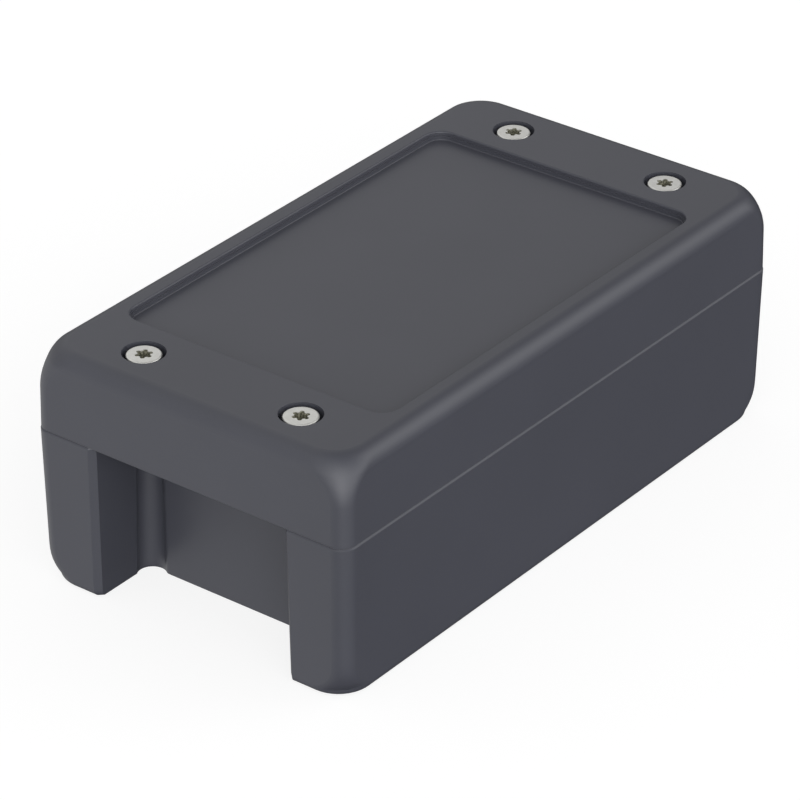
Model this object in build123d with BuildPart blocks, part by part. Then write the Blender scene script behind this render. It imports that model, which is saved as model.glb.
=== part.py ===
"""Two-part die-cast aluminium enclosure: a base on four corner legs with an
open recess at each end, a domed-edge lid with a sunken label panel, a seal
and four captive lid screws with their retaining rings.

Millimetres, +Z up.  X is across, Y is along the length, the origin is the
centre of the underside.  The parting plane is at z = BASE_H.
"""
from math import cos, pi, radians, sin, sqrt
import os

from build123d import *

os.makedirs("parts", exist_ok=True)

# ---------------------------------------------------------------- overall
WIDTH = 82.0            # at the parting plane
LENGTH = 151.7          # at the parting plane
BASE_H = 36.6           # underside to parting plane
LID_H = 19.3            # parting plane to lid top
TOP = BASE_H + LID_H

# ---------------------------------------------------------------- base outside
DRAFT_X = 0.60          # inset of the long sides at the underside
DRAFT_Y = 0.61          # inset of the ends at the underside
CORNER_R = 3.55         # vertical corner radius near the parting plane
FOOT_CORNER_R = 8.1     # corner radius at the foot
FOOT_BLEND = 7.4        # height over which the corner opens out
FOOT_ROUND = 1.6        # rounding of the bottom edges
REC_ROUND = 0.1         # share of it that the recess edges get
RIM_CHAMFER = 0.35      # outer edge at the parting plane

# ---------------------------------------------------------------- end recesses
REC_HALF_BOT = 25.3     # half width at the underside
REC_HALF_TOP = 24.95    # half width at the parting plane
REC_WALL_BOT = 58.95    # recess back wall, distance from the middle, underside
REC_WALL_TOP = 59.6     # the same at the parting plane
LEG_CHAMFER = 1.3       # vertical inner front edge of each leg
CH_R_BOT = 3.08         # vertical channel in each inner corner, drafted
CH_R_TOP = 2.8
CH_X = 2.6              # its axis in from the leg face
CH_Y = 2.16             # its axis out from the back wall, at the underside
CH_EDGE_LEG = 0.3       # rounded edge where it meets the leg face
CH_EDGE_WALL = 1.5      # softer edge where it meets the back wall

# ---------------------------------------------------------------- base inside
CAV_X = 36.8            # cavity half width at the rim
CAV_Y = 56.3            # cavity half length at the rim
CAV_DRAFT = 0.5         # narrower by this at the floor
FLOOR_T = 3.2
SPIGOT_H = 3.0          # raised rim that enters the lid skirt
SPIGOT_X = 38.9
SPIGOT_Y = 73.75
DECK_DROP = 1.0         # deck above each recess reaches this far below the parting
BOSS_R = 3.6            # screw bosses under the deck
BOSS_DROP = 5.8
TAP_R = 2.05            # M4
TAP_DROP = 4.3
FIX_X, FIX_Y = 33.0, 68.0      # wall fixing holes through the legs
FIX_R = 2.25
FIX_WEB = 4.0
FIX_POCKET_R = 4.3
PCB_X, PCB_Y = 28.0, 45.0      # board pillars
PCB_R = 3.5
PCB_H = 6.0
PCB_TAP_R = 1.3
PCB_TAP_DEPTH = 6.5

# ---------------------------------------------------------------- lid outside
LID_INSET = 0.09        # lid foot set in from the base rim
LID_DRAFT = 0.19
LID_EDGE = 0.22         # lower edge chamfer
TOP_R = 3.62            # top edge rounding
LID_CORNER_R = 7.25     # corner radius where the rounding starts
LID_BLEND = 6.06        # height over which the corner opens out

# ---------------------------------------------------------------- label panel
PANEL_X, PANEL_Y = 34.9, 54.5  # half sizes at the middle of the mouth edge
PANEL_R = 4.5
PANEL_LIP = 0.4         # rounded mouth edge
PANEL_STEP_Z = 1.0      # depth of the narrow ledge
PANEL_LEDGE = 0.3
PANEL_DEPTH = 2.0
PANEL_FOOT_R = 0.2      # hollow blend at the panel floor

# ---------------------------------------------------------------- lid inside
SKIRT_X, SKIRT_Y = 39.2, 74.05
LEDGE_Z = 3.2           # ledge above the spigot
LCAV_X, LCAV_Y = 36.8, 55.9
ROOF_Z = 14.2
END_X, END_Y0, END_Y1 = 37.4, 60.2, 72.9
END_ROOF = 15.4
TUBE_R = 5.6

# ---------------------------------------------------------------- screws
SCR_X, SCR_Y = 20.55, 63.8
CBORE_R = 4.7
SEAT_Z = 16.35
HEAD_R = 3.8
HEAD_H = 2.55
SHANK_R = 2.0
SHANK_L = 20.0
HOLE_R = 2.3
RING_POCKET_R = 4.0
RING_POCKET_TOP = 11.8
RING_Z0, RING_Z1 = 3.4, 4.4
RING_RI, RING_RO = 2.05, 3.6
DRIVE_R = 1.36          # six-lobe recess: core, lobe circle and lobe radius
LOBE_C = 1.45
LOBE_R = 0.5
DRIVE_DEPTH = 1.7

# ---------------------------------------------------------------- seal
SEAL_X, SEAL_Y = 37.85, 57.7   # centre line
SEAL_W = 1.6
GROOVE_W = 1.8
GROOVE_TOP = 5.2
SEAL_TOP = 5.1
SEAL_R = 3.4            # centre line corner radius


def base_outline(z):
    """Half sizes, corner radius and edge inset of the base at height z."""
    s = (BASE_H - z) / BASE_H
    t = max(0.0, 1 - (z - FOOT_ROUND) / FOOT_BLEND) if z > FOOT_ROUND else 1.0
    r = CORNER_R + (FOOT_CORNER_R - CORNER_R) * t ** 3
    d = 0.0
    if z < FOOT_ROUND:
        d = FOOT_ROUND - sqrt(FOOT_ROUND ** 2 - (FOOT_ROUND - z) ** 2)
    if z > BASE_H - RIM_CHAMFER:
        d = z - (BASE_H - RIM_CHAMFER)
    a = REC_HALF_TOP + (REC_HALF_BOT - REC_HALF_TOP) * s
    b = REC_WALL_TOP + (REC_WALL_BOT - REC_WALL_TOP) * s
    rc = CH_R_TOP + (CH_R_BOT - CH_R_TOP) * s
    return WIDTH / 2 - DRAFT_X * s, LENGTH / 2 - DRAFT_Y * s, r, a, b, rc, d


def base_points(z):
    """Key points of one quarter of the base outline, from the middle of the
    recess back wall round to the long side, as (kind, through, end)."""
    hx, hy, r, a, b, rc, d = base_outline(z)
    cx, cy = a - CH_X, REC_WALL_BOT + CH_Y
    g = REC_ROUND * d
    hx, hy, r, a, b = hx - d, hy - d, r - d, a + g, b - g
    rc, f = rc + g, LEG_CHAMFER - 0.4 * d
    e1, e2 = CH_EDGE_LEG, CH_EDGE_WALL
    c1 = (a + e1, cy + sqrt((rc + e1) ** 2 - (a + e1 - cx) ** 2))
    c2 = (cx - sqrt((rc + e2) ** 2 - (cy - b + e2) ** 2), b - e2)
    u1 = ((c1[0] - cx) / (rc + e1), (c1[1] - cy) / (rc + e1))
    u2 = ((c2[0] - cx) / (rc + e2), (c2[1] - cy) / (rc + e2))
    p0 = (c2[0], b)
    p1 = (cx + rc * u2[0], cy + rc * u2[1])
    p2 = (cx + rc * u1[0], cy + rc * u1[1])
    p3 = (a, c1[1])

    def mid(c, rad, p, q):
        vx, vy = (p[0] + q[0]) / 2 - c[0], (p[1] + q[1]) / 2 - c[1]
        n = sqrt(vx * vx + vy * vy)
        return (c[0] + rad * vx / n, c[1] + rad * vy / n)

    m01 = mid(c2, e2, p0, p1)
    m12 = (cx + rc * sqrt(0.5), cy - rc * sqrt(0.5))
    m23 = mid(c1, e1, p2, p3)
    p4, p5 = (a, hy - f), (a + f, hy)
    p6, p7 = (hx - r, hy), (hx, hy - r)
    m67 = mid((hx - r, hy - r), r, p6, p7)
    return [p0, m01, p1, m12, p2, m23, p3, p4, p5, p6, m67, p7]


def base_edges(z):
    """Closed outline at height z, counter-clockwise, as lists of 2 or 3 points."""
    q = base_points(z)
    seq = [[0, 1, 2], [2, 3, 4], [4, 5, 6], [6, 7], [7, 8], [8, 9], [9, 10, 11]]

    def quarter(sx, sy, forward):
        out = []
        for idx in (seq if forward else seq[::-1]):
            pts = [(sx * q[i][0], sy * q[i][1]) for i in idx]
            out.append(pts if forward else pts[::-1])
        return out

    e = quarter(1, -1, True)
    e.append([(q[11][0], -q[11][1]), (q[11][0], q[11][1])])
    e += quarter(1, 1, False)
    e.append([(q[0][0], q[0][1]), (-q[0][0], q[0][1])])
    e += quarter(-1, 1, True)
    e.append([(-q[11][0], q[11][1]), (-q[11][0], -q[11][1])])
    e += quarter(-1, -1, False)
    e.append([(-q[0][0], -q[0][1]), (q[0][0], -q[0][1])])
    return e


def lid_outline(z):
    """Half sizes and corner radius of the lid, z from the parting plane."""
    z1 = LID_H - TOP_R
    z0 = z1 - LID_BLEND
    k = (LID_CORNER_R - CORNER_R) / LID_BLEND ** 2
    ins = 0.0
    if z <= z0:
        r = CORNER_R
    elif z <= z1:
        r = CORNER_R + k * (z - z0) ** 2
    else:
        s = z - z1
        r = LID_CORNER_R + 2 * k * LID_BLEND * (s - s * s / (2 * TOP_R))
        ins = TOP_R - sqrt(max(0.0, TOP_R ** 2 - s * s))
    if z < LID_EDGE:
        ins = LID_EDGE - z
    f = LID_INSET + LID_DRAFT * min(z, z1) / z1
    return WIDTH / 2 - f - ins, LENGTH / 2 - f - ins, r - ins


foot = [FOOT_ROUND * (1 - cos(a)) for a in [i * pi / 12 for i in range(7)]]
foot_blend = [FOOT_ROUND + FOOT_BLEND * i / 7 for i in range(8)]
straight = [FOOT_ROUND + FOOT_BLEND, BASE_H - RIM_CHAMFER]
rim = [BASE_H - RIM_CHAMFER, BASE_H]

lid_low = [0.0, LID_EDGE]
lid_straight = [LID_EDGE, LID_H - TOP_R - LID_BLEND]
lid_blend = [LID_H - TOP_R - LID_BLEND * (1 - i / 7) for i in range(8)]
lid_round = [LID_H - TOP_R + TOP_R * sin(i * pi / 20) for i in range(11)]


# ================================================================== base
with BuildPart() as base:
    for zone, flat in ((foot, False), (foot_blend, False), (straight, True), (rim, True)):
        for z in zone:
            with BuildSketch(Plane.XY.offset(z)):
                with BuildLine():
                    for pts in base_edges(z):
                        if len(pts) == 2:
                            Line(pts[0], pts[1])
                        else:
                            ThreePointArc(pts[0], pts[1], pts[2])
                make_face()
        loft(ruled=flat)
    # raised rim, and the deck that closes each end recess from above
    with BuildSketch(Plane.XY.offset(BASE_H - DECK_DROP)):
        RectangleRounded(2 * SPIGOT_X - 0.6, 2 * SPIGOT_Y, 2.0)
    extrude(amount=DECK_DROP)
    with BuildSketch(Plane.XY.offset(BASE_H)):
        RectangleRounded(2 * SPIGOT_X, 2 * SPIGOT_Y, 2.2)
    extrude(amount=SPIGOT_H)
    # screw bosses under the deck
    with BuildSketch(Plane.XY.offset(BASE_H - BOSS_DROP)):
        with Locations(*[(sx * SCR_X, sy * SCR_Y) for sx in (-1, 1) for sy in (-1, 1)]):
            Circle(BOSS_R)
    extrude(amount=BOSS_DROP)
    # cavity
    with BuildSketch(Plane.XY.offset(FLOOR_T)):
        RectangleRounded(2 * (CAV_X - CAV_DRAFT), 2 * (CAV_Y - CAV_DRAFT), 3.0)
    with BuildSketch(Plane.XY.offset(BASE_H + SPIGOT_H)):
        RectangleRounded(2 * CAV_X, 2 * CAV_Y, 3.0)
    loft(ruled=True, mode=Mode.SUBTRACT)
    # board pillars
    with BuildSketch(Plane.XY.offset(FLOOR_T - 1)):
        with Locations(*[(sx * PCB_X, sy * PCB_Y) for sx in (-1, 1) for sy in (-1, 1)]):
            Circle(PCB_R)
    extrude(amount=PCB_H + 1)
    with BuildSketch(Plane.XY.offset(FLOOR_T + PCB_H)):
        with Locations(*[(sx * PCB_X, sy * PCB_Y) for sx in (-1, 1) for sy in (-1, 1)]):
            Circle(PCB_TAP_R)
    extrude(amount=-PCB_TAP_DEPTH, mode=Mode.SUBTRACT)
    # tapped holes for the lid screws
    with BuildSketch(Plane.XY.offset(BASE_H + SPIGOT_H)):
        with Locations(*[(sx * SCR_X, sy * SCR_Y) for sx in (-1, 1) for sy in (-1, 1)]):
            Circle(TAP_R)
    extrude(amount=-(SPIGOT_H + TAP_DROP), mode=Mode.SUBTRACT)
    # wall fixing holes down through the legs, with a pocket for the screw head
    with BuildSketch(Plane.XY.offset(FIX_WEB)):
        with Locations(*[(sx * FIX_X, sy * FIX_Y) for sx in (-1, 1) for sy in (-1, 1)]):
            Circle(FIX_POCKET_R)
    extrude(amount=BASE_H + SPIGOT_H - FIX_WEB, mode=Mode.SUBTRACT)
    with BuildSketch(Plane.XY):
        with Locations(*[(sx * FIX_X, sy * FIX_Y) for sx in (-1, 1) for sy in (-1, 1)]):
            Circle(FIX_R)
    extrude(amount=FIX_WEB, mode=Mode.SUBTRACT)
base.part.label = "base"
export_step(base.part, "parts/base.step")

# ================================================================== lid
with BuildPart() as lid:
    for zone, flat in ((lid_low, True), (lid_straight, True), (lid_blend, False), (lid_round, False)):
        for z in zone:
            hx, hy, r = lid_outline(z)
            with BuildSketch(Plane.XY.offset(BASE_H + z)):
                RectangleRounded(2 * hx, 2 * hy, r)
        loft(ruled=flat)
    # sunken panel: upper step, lower step, then the hollow blend and rounded mouth
    k = PANEL_LIP / 2
    with BuildSketch(Plane.XY.offset(TOP)):
        RectangleRounded(2 * (PANEL_X - k), 2 * (PANEL_Y - k), PANEL_R - k)
    extrude(amount=-PANEL_STEP_Z, mode=Mode.SUBTRACT)
    k = k + PANEL_LEDGE
    with BuildSketch(Plane.XY.offset(TOP - PANEL_STEP_Z)):
        RectangleRounded(2 * (PANEL_X - k), 2 * (PANEL_Y - k), PANEL_R - k)
    extrude(amount=PANEL_STEP_Z - PANEL_DEPTH, mode=Mode.SUBTRACT)
    panel_floor = lid.faces().filter_by(Axis.Z).filter_by_position(
        Axis.Z, TOP - PANEL_DEPTH - 0.01, TOP - PANEL_DEPTH + 0.01)
    fillet(panel_floor.edges(), radius=PANEL_FOOT_R)
    mouth = lid.edges().filter_by_position(Axis.Z, TOP - 0.01, TOP + 0.01).filter_by_position(
        Axis.X, -PANEL_X - 0.1, PANEL_X + 0.1).filter_by_position(Axis.Y, -PANEL_Y - 0.1, PANEL_Y + 0.1)
    fillet(mouth, radius=PANEL_LIP)
    # skirt that closes over the raised rim
    with BuildSketch(Plane.XY.offset(BASE_H)):
        RectangleRounded(2 * SKIRT_X, 2 * SKIRT_Y, 2.5)
    extrude(amount=LEDGE_Z, mode=Mode.SUBTRACT)
    # cavity over the base cavity
    with BuildSketch(Plane.XY.offset(BASE_H + LEDGE_Z)):
        RectangleRounded(2 * LCAV_X, 2 * LCAV_Y, 3.0)
    with BuildSketch(Plane.XY.offset(BASE_H + ROOF_Z)):
        RectangleRounded(2 * LCAV_X - 0.4, 2 * LCAV_Y - 0.4, 3.0)
    loft(ruled=True, mode=Mode.SUBTRACT)
    # end pockets
    with BuildSketch(Plane.XY.offset(BASE_H + LEDGE_Z)):
        with Locations((0, (END_Y0 + END_Y1) / 2), (0, -(END_Y0 + END_Y1) / 2)):
            RectangleRounded(2 * END_X, END_Y1 - END_Y0, 2.2)
    extrude(amount=END_ROOF - LEDGE_Z, mode=Mode.SUBTRACT)
    # screw tubes
    with BuildSketch(Plane.XY.offset(BASE_H + LEDGE_Z)):
        with Locations(*[(sx * SCR_X, sy * SCR_Y) for sx in (-1, 1) for sy in (-1, 1)]):
            Circle(TUBE_R)
    extrude(amount=END_ROOF - LEDGE_Z)
    with BuildSketch(Plane.XY.offset(BASE_H + LEDGE_Z)):
        with Locations(*[(sx * SCR_X, sy * SCR_Y) for sx in (-1, 1) for sy in (-1, 1)]):
            Circle(RING_POCKET_R)
    extrude(amount=RING_POCKET_TOP - LEDGE_Z, mode=Mode.SUBTRACT)
    with BuildSketch(Plane.XY.offset(BASE_H + RING_POCKET_TOP)):
        with Locations(*[(sx * SCR_X, sy * SCR_Y) for sx in (-1, 1) for sy in (-1, 1)]):
            Circle(HOLE_R)
    extrude(amount=SEAT_Z - RING_POCKET_TOP, mode=Mode.SUBTRACT)
    with BuildSketch(Plane.XY.offset(BASE_H + SEAT_Z)):
        with Locations(*[(sx * SCR_X, sy * SCR_Y) for sx in (-1, 1) for sy in (-1, 1)]):
            Circle(CBORE_R)
    extrude(amount=LID_H - SEAT_Z + 0.5, mode=Mode.SUBTRACT)
    # groove for the seal
    with BuildSketch(Plane.XY.offset(BASE_H + LEDGE_Z)):
        RectangleRounded(2 * SEAL_X + GROOVE_W, 2 * SEAL_Y + GROOVE_W, SEAL_R + GROOVE_W / 2)
        RectangleRounded(2 * SEAL_X - GROOVE_W, 2 * SEAL_Y - GROOVE_W, SEAL_R - GROOVE_W / 2, mode=Mode.SUBTRACT)
    extrude(amount=GROOVE_TOP - LEDGE_Z, mode=Mode.SUBTRACT)
lid.part.label = "lid"
export_step(lid.part, "parts/lid.step")

# ================================================================== seal
with BuildPart() as seal:
    with BuildSketch(Plane.XY.offset(BASE_H + SPIGOT_H)):
        RectangleRounded(2 * SEAL_X + SEAL_W, 2 * SEAL_Y + SEAL_W, SEAL_R + SEAL_W / 2)
        RectangleRounded(2 * SEAL_X - SEAL_W, 2 * SEAL_Y - SEAL_W, SEAL_R - SEAL_W / 2, mode=Mode.SUBTRACT)
    extrude(amount=SEAL_TOP - SPIGOT_H)
seal.part.label = "seal"
export_step(seal.part, "parts/seal.step")

# ================================================================== lid screws
corners = ((-1, -1), (1, -1), (1, 1), (-1, 1))
turn = -2                               # angle at which the drive recesses stopped
for n, (sx, sy) in enumerate(corners, start=1):
    x, y = sx * SCR_X, sy * SCR_Y
    with BuildPart() as screw:
        with BuildSketch(Plane.XY.offset(BASE_H + SEAT_Z)):
            with Locations((x, y)):
                Circle(HEAD_R)
        extrude(amount=HEAD_H)
        fillet(screw.edges().group_by(Axis.Z)[-1], radius=0.4)
        with BuildSketch(Plane.XY.offset(BASE_H + SEAT_Z)):
            with Locations((x, y)):
                Circle(SHANK_R)
        extrude(amount=-SHANK_L)
        chamfer(screw.edges().group_by(Axis.Z)[0], length=0.5)
        with BuildSketch(Plane.XY.offset(BASE_H + SEAT_Z + HEAD_H)):
            with Locations((x, y)):
                Circle(DRIVE_R)
            with Locations(*[(x + LOBE_C * cos(radians(turn + 60 * i)), y + LOBE_C * sin(radians(turn + 60 * i)))
                             for i in range(6)]):
                Circle(LOBE_R)
        extrude(amount=-DRIVE_DEPTH, mode=Mode.SUBTRACT)
    screw.part.label = f"lid_screw_{n}"
    export_step(screw.part, f"parts/lid_screw_{n}.step")

# ================================================================== retaining rings
for n, (sx, sy) in enumerate(corners, start=1):
    x, y = sx * SCR_X, sy * SCR_Y
    with BuildPart() as ring:
        with BuildSketch(Plane.XY.offset(BASE_H + RING_Z0)):
            with Locations((x, y)):
                Circle(RING_RO)
                Circle(RING_RI, mode=Mode.SUBTRACT)
        extrude(amount=RING_Z1 - RING_Z0)
    ring.part.label = f"retaining_ring_{n}"
    export_step(ring.part, f"parts/retaining_ring_{n}.step")
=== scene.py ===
import math

import bpy
from mathutils import Matrix, Vector

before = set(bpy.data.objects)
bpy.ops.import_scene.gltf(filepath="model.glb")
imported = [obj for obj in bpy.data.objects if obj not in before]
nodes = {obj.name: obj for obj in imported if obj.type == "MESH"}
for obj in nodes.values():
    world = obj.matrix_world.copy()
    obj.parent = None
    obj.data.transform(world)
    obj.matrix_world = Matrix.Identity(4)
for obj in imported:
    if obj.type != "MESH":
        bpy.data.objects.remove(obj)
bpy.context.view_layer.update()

MM = 0.001
scene = bpy.context.scene


# ---------------------------------------------------------------- node helpers
def material(name):
    m = bpy.data.materials.new(name)
    m.use_nodes = True
    t = m.node_tree
    for n in list(t.nodes):
        t.nodes.remove(n)
    out = t.nodes.new("ShaderNodeOutputMaterial")
    bsdf = t.nodes.new("ShaderNodeBsdfPrincipled")
    t.links.new(bsdf.outputs["BSDF"], out.inputs["Surface"])
    return m, t, bsdf


def noise(t, coord, scale, detail=2.0, rough=0.5):
    n = t.nodes.new("ShaderNodeTexNoise")
    n.inputs["Scale"].default_value = scale
    n.inputs["Detail"].default_value = detail
    n.inputs["Roughness"].default_value = rough
    t.links.new(coord, n.inputs["Vector"])
    return n.outputs["Fac"]


def ramp(t, fac, lo, hi, a, b):
    """Maps fac from lo..hi to a..b."""
    n = t.nodes.new("ShaderNodeMapRange")
    n.inputs["From Min"].default_value = lo
    n.inputs["From Max"].default_value = hi
    n.inputs["To Min"].default_value = a
    n.inputs["To Max"].default_value = b
    t.links.new(fac, n.inputs["Value"])
    return n.outputs["Result"]


def math_node(t, op, a, b):
    n = t.nodes.new("ShaderNodeMath")
    n.operation = op
    for i, v in enumerate((a, b)):
        if isinstance(v, (int, float)):
            n.inputs[i].default_value = v
        else:
            t.links.new(v, n.inputs[i])
    return n.outputs[0]


def mix_colour(t, fac, a, b):
    n = t.nodes.new("ShaderNodeMix")
    n.data_type = "RGBA"
    if isinstance(fac, (int, float)):
        n.inputs[0].default_value = fac
    else:
        t.links.new(fac, n.inputs[0])
    for sock, v in ((n.inputs[6], a), (n.inputs[7], b)):
        if isinstance(v, tuple):
            sock.default_value = (*v, 1.0)
        else:
            t.links.new(v, sock)
    return n.outputs[2]


def bump(t, height, strength, distance, normal=None):
    n = t.nodes.new("ShaderNodeBump")
    n.inputs["Strength"].default_value = strength
    n.inputs["Distance"].default_value = distance
    t.links.new(height, n.inputs["Height"])
    if normal is not None:
        t.links.new(normal, n.inputs["Normal"])
    return n.outputs["Normal"]


def edge_mask(t, radius, lo, hi):
    """0 on faces and 1 on sharp edges, from how far a rounded normal turns."""
    b = t.nodes.new("ShaderNodeBevel")
    b.samples = 4
    b.inputs["Radius"].default_value = radius
    g = t.nodes.new("ShaderNodeNewGeometry")
    d = t.nodes.new("ShaderNodeVectorMath")
    d.operation = "DOT_PRODUCT"
    t.links.new(b.outputs["Normal"], d.inputs[0])
    t.links.new(g.outputs["Normal"], d.inputs[1])
    return ramp(t, d.outputs["Value"], hi, lo, 0.0, 1.0), b.outputs["Normal"]


# ---------------------------------------------------------------- materials
def powder_coat():
    m, t, bsdf = material("graphite_powder_coat")
    co = t.nodes.new("ShaderNodeTexCoord").outputs["Object"]
    cloud = noise(t, co, 38.0, 3.0, 0.55)
    grain = noise(t, co, 2600.0, 2.0, 0.6)
    peel = noise(t, co, 900.0, 2.0, 0.5)
    base = mix_colour(t, ramp(t, cloud, 0.3, 0.7, 0.0, 1.0), (0.0570, 0.0590, 0.0735), (0.0610, 0.0630, 0.0785))
    base = mix_colour(t, ramp(t, grain, 0.35, 0.75, 0.0, 0.12), base, (0.085, 0.087, 0.100))
    wear, _ = edge_mask(t, 0.35 * MM, 0.80, 0.97)
    worn = math_node(t, "MULTIPLY", wear, ramp(t, cloud, 0.35, 0.65, 0.15, 0.45))
    base = mix_colour(t, worn, base, (0.088, 0.090, 0.103))
    t.links.new(base, bsdf.inputs["Base Color"])
    t.links.new(ramp(t, grain, 0.3, 0.7, 0.34, 0.40), bsdf.inputs["Roughness"])
    n1 = bump(t, peel, 0.10, 0.02 * MM)
    n2 = bump(t, grain, 0.12, 0.008 * MM, n1)
    t.links.new(n2, bsdf.inputs["Normal"])
    bsdf.inputs["Specular IOR Level"].default_value = 0.5
    bsdf.inputs["IOR"].default_value = 1.5
    return m


def screw_steel():
    m, t, bsdf = material("satin_stainless_steel")
    co = t.nodes.new("ShaderNodeTexCoord").outputs["Object"]
    fine = noise(t, co, 5200.0, 2.0, 0.6)
    soft = noise(t, co, 700.0, 2.0, 0.5)
    base = mix_colour(t, ramp(t, soft, 0.3, 0.7, 0.0, 1.0), (0.84, 0.835, 0.80), (0.91, 0.905, 0.87))
    base = mix_colour(t, ramp(t, fine, 0.5, 0.8, 0.0, 0.25), base, (0.66, 0.65, 0.63))
    # painted shade: inside the drive recess the steel turns a dark olive, non-metal colour that stands in for the
    # shade in the hollow
    at = t.nodes.new("ShaderNodeSeparateXYZ")
    t.links.new(co, at.inputs[0])
    dx = math_node(t, "SUBTRACT", math_node(t, "ABSOLUTE", at.outputs["X"], 0.0), 20.55 * MM)
    dy = math_node(t, "SUBTRACT", math_node(t, "ABSOLUTE", at.outputs["Y"], 0.0), 63.8 * MM)
    gap = math_node(t, "SQRT", math_node(t, "ADD", math_node(t, "MULTIPLY", dx, dx), math_node(t, "MULTIPLY", dy, dy)), 0.0)
    recess_shade_mask = math_node(t, "MULTIPLY", math_node(t, "LESS_THAN", gap, 2.05 * MM), ramp(t, at.outputs["Z"], 55.42 * MM, 55.30 * MM, 0.0, 1.0))
    recess_shade_mask = math_node(t, "MULTIPLY", recess_shade_mask, math_node(t, "GREATER_THAN", at.outputs["Z"], 53.0 * MM))
    # painted shade colour for the drive recess, dark olive with a mottle
    scale = mix_colour(t, ramp(t, noise(t, co, 2300.0), 0.4, 0.6, 0.0, 1.0), (0.12, 0.118, 0.088), (0.34, 0.33, 0.25))
    base = mix_colour(t, recess_shade_mask, base, scale)
    t.links.new(base, bsdf.inputs["Base Color"])
    t.links.new(math_node(t, "SUBTRACT", 1.0, recess_shade_mask), bsdf.inputs["Metallic"])
    t.links.new(ramp(t, fine, 0.3, 0.7, 0.38, 0.50), bsdf.inputs["Roughness"])
    t.links.new(bump(t, fine, 0.12, 0.01 * MM), bsdf.inputs["Normal"])
    return m


def seal_rubber():
    m, t, bsdf = material("seal_rubber")
    co = t.nodes.new("ShaderNodeTexCoord").outputs["Object"]
    cloud = noise(t, co, 140.0, 3.0, 0.6)
    grain = noise(t, co, 4200.0, 2.0, 0.6)
    base = mix_colour(t, ramp(t, cloud, 0.3, 0.7, 0.0, 1.0), (0.012, 0.012, 0.013), (0.024, 0.024, 0.025))
    t.links.new(base, bsdf.inputs["Base Color"])
    t.links.new(ramp(t, grain, 0.3, 0.7, 0.62, 0.80), bsdf.inputs["Roughness"])
    t.links.new(bump(t, grain, 0.25, 0.02 * MM), bsdf.inputs["Normal"])
    return m


def ring_nylon():
    m, t, bsdf = material("natural_nylon")
    co = t.nodes.new("ShaderNodeTexCoord").outputs["Object"]
    cloud = noise(t, co, 420.0, 3.0, 0.6)
    base = mix_colour(t, ramp(t, cloud, 0.3, 0.7, 0.0, 1.0), (0.62, 0.60, 0.53), (0.72, 0.70, 0.64))
    t.links.new(base, bsdf.inputs["Base Color"])
    t.links.new(ramp(t, cloud, 0.3, 0.7, 0.42, 0.56), bsdf.inputs["Roughness"])
    t.links.new(bump(t, cloud, 0.15, 0.02 * MM), bsdf.inputs["Normal"])
    bsdf.inputs["Subsurface Weight"].default_value = 0.1
    bsdf.inputs["Subsurface Scale"].default_value = 0.5 * MM
    return m


COAT, STEEL, RUBBER, NYLON = powder_coat(), screw_steel(), seal_rubber(), ring_nylon()


def dress(node, mat):
    o = nodes[node]
    o.data.materials.clear()
    o.data.materials.append(mat)
    for p in o.data.polygons:
        p.material_index = 0


for name in nodes:
    if name in ("base", "lid"):
        dress(name, COAT)
    elif name == "seal":
        dress(name, RUBBER)
    elif name.startswith("lid_screw"):
        dress(name, STEEL)
    else:
        dress(name, NYLON)

# ---------------------------------------------------------------- camera
BASE_H = 36.6
AZ, EL, ROLL = math.radians(37.584), math.radians(30.048), math.radians(-0.039)
DIST, FOCAL_PX = 920.0, 4423.3
target = Vector((15.44, -24.58, 2.56 + BASE_H))
back = Vector((math.sin(AZ) * math.cos(EL), -math.cos(AZ) * math.cos(EL), math.sin(EL)))
right = (-back).cross(Vector((0, 0, 1))).normalized()
up = right.cross(-back)
right, up = math.cos(ROLL) * right + math.sin(ROLL) * up, -math.sin(ROLL) * right + math.cos(ROLL) * up
half_px = 0.5 * DIST / FOCAL_PX
place = target + back * DIST - half_px * right + half_px * up
cam_data = bpy.data.cameras.new("camera")
cam_data.sensor_width = 36.0
cam_data.sensor_height = 36.0
cam_data.sensor_fit = "AUTO"
cam_data.lens = FOCAL_PX / 800 * 36.0
cam_data.clip_start, cam_data.clip_end = 0.05, 20.0
cam = bpy.data.objects.new("camera", cam_data)
scene.collection.objects.link(cam)
cam.matrix_world = Matrix((
    (right.x, up.x, back.x, place.x * MM),
    (right.y, up.y, back.y, place.y * MM),
    (right.z, up.z, back.z, place.z * MM),
    (0, 0, 0, 1)))
scene.camera = cam

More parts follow.
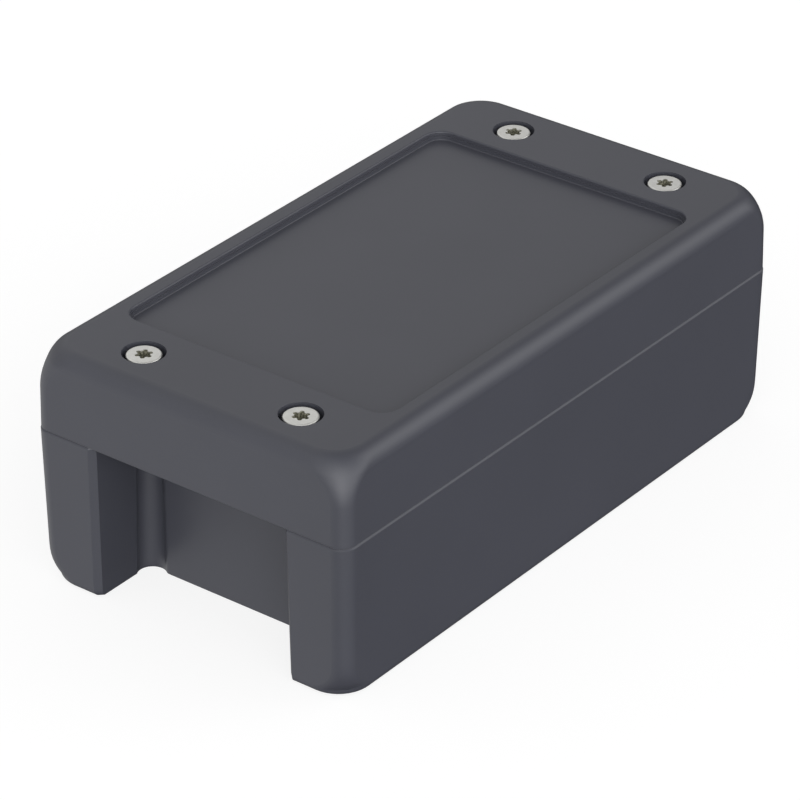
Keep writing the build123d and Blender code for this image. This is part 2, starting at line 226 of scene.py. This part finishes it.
# ---------------------------------------------------------------- floor and light
fm, ft, fb = material("floor_paper")
fco = ft.nodes.new("ShaderNodeTexCoord").outputs["Object"]
fb.inputs["Roughness"].default_value = 0.9
fb.inputs["Specular IOR Level"].default_value = 0.0
paper = mix_colour(ft, noise(ft, fco, 3.0), (0.24, 0.24, 0.24), (0.26, 0.26, 0.26))
ft.links.new(paper, fb.inputs["Base Color"])
fb.inputs["Emission Color"].default_value = (1.0, 1.0, 1.0, 1.0)
fb.inputs["Emission Strength"].default_value = 0.82
bpy.ops.mesh.primitive_circle_add(vertices=96, radius=6.0, fill_type="NGON", location=(0, 0, -0.05 * MM))
floor = bpy.context.object
floor.name = "floor"
floor.data.materials.append(fm)
floor.visible_diffuse = False       # the table is white to the eye and gives no bounce
floor.visible_glossy = False
floor.visible_shadow = False

# the room: broad soft lobes of light, each (azimuth from the front, elevation,
# exponent, strength), and plain white where the camera looks straight at it
LOBES = [
    (270, -25, 8, 0.723), (315, -25, 8, 0.715),
    (0, 5, 9, 1.036), (45, 5, 9, 2.413), (90, 5, 9, 1.673), (135, 5, 9, 0.225), (270, 5, 9, 0.143), (315, 5, 9, 0.028),
    (45, 30, 9, 1.492), (135, 30, 9, 1.743), (225, 30, 9, 0.722), (270, 30, 9, 0.281), (315, 30, 9, 0.467),
    (0, 58, 8, 0.541), (270, 58, 8, 0.424),
]
world = bpy.data.worlds.new("studio")
scene.world = world
world.use_nodes = True
wt = world.node_tree
bg = wt.nodes["Background"]
direction = wt.nodes.new("ShaderNodeTexCoord").outputs["Generated"]
total = 0.0
for az, el, power, strength in LOBES:
    az, el = math.radians(az), math.radians(el)
    dot = wt.nodes.new("ShaderNodeVectorMath")
    dot.operation = "DOT_PRODUCT"
    wt.links.new(direction, dot.inputs[0])
    dot.inputs[1].default_value = (math.sin(az) * math.cos(el), -math.cos(az) * math.cos(el), math.sin(el))
    lobe = math_node(wt, "POWER", math_node(wt, "MAXIMUM", dot.outputs["Value"], 0.0), power)
    total = math_node(wt, "ADD", math_node(wt, "MULTIPLY", lobe, strength), total)
grey = wt.nodes.new("ShaderNodeCombineColor")
for channel in ("Red", "Green", "Blue"):
    wt.links.new(total, grey.inputs[channel])
seen = wt.nodes.new("ShaderNodeLightPath").outputs["Is Camera Ray"]
wt.links.new(mix_colour(wt, seen, grey.outputs["Color"], (1.0, 1.0, 1.0)), bg.inputs["Color"])
bg.inputs["Strength"].default_value = 1.0

scene.view_settings.view_transform = "Standard"
scene.view_settings.look = "None"
scene.view_settings.exposure = 0.0
scene.view_settings.gamma = 1.0
